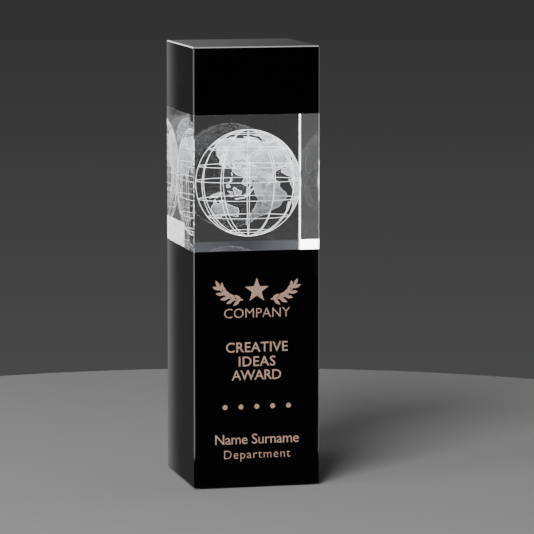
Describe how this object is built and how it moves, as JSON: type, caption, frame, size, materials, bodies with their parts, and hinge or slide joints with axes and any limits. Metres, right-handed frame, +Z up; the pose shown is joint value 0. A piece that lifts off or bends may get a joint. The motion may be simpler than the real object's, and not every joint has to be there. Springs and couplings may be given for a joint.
{
  "type": "column trophy",
  "caption": "Square crystal column award: engraved black base, clear block and black cap, bonded end to end, with paint-filled lettering on the front.",
  "frame": {"origin": "centre of the square footprint, in the plane of the table", "axes": "+Z up the column, -Y out of the engraved front face, +X to the right when facing the front"},
  "size_m": [0.06, 0.06, 0.2063],
  "materials": {
    "black_crystal": "polished",
    "clear_crystal": "polished",
    "cement": "clear",
    "copper_paint": "satin",
    "felt": "matte"
  },
  "bodies": {
    "root": {"base_pad": "felt", "base_column": "black_crystal", "cap_block": "black_crystal", "clear_block": "clear_crystal", "lower_bond": "cement", "upper_bond": "cement", "emblem_star_paint": "copper_paint", "emblem_left_spray_paint": "copper_paint", "emblem_right_spray_paint": "copper_paint", "dot_paint_1": "copper_paint", "dot_paint_2": "copper_paint", "dot_paint_3": "copper_paint", "dot_paint_4": "copper_paint", "dot_paint_5": "copper_paint", "title_upper_letter_1": "copper_paint", "title_upper_letter_2": "copper_paint", "title_upper_letter_3": "copper_paint", "title_upper_letter_4": "copper_paint", "title_upper_letter_5": "copper_paint", "title_upper_letter_6": "copper_paint", "title_upper_letter_7": "copper_paint", "title_upper_letter_8": "copper_paint", "title_middle_letter_1": "copper_paint", "title_middle_letter_2": "copper_paint", "title_middle_letter_3": "copper_paint", "title_middle_letter_4": "copper_paint", "title_middle_letter_5": "copper_paint", "title_lower_letter_1": "copper_paint", "title_lower_letter_2": "copper_paint", "title_lower_letter_3": "copper_paint", "title_lower_letter_4": "copper_paint", "title_lower_letter_5": "copper_paint"}
  },
  "joints": []
}
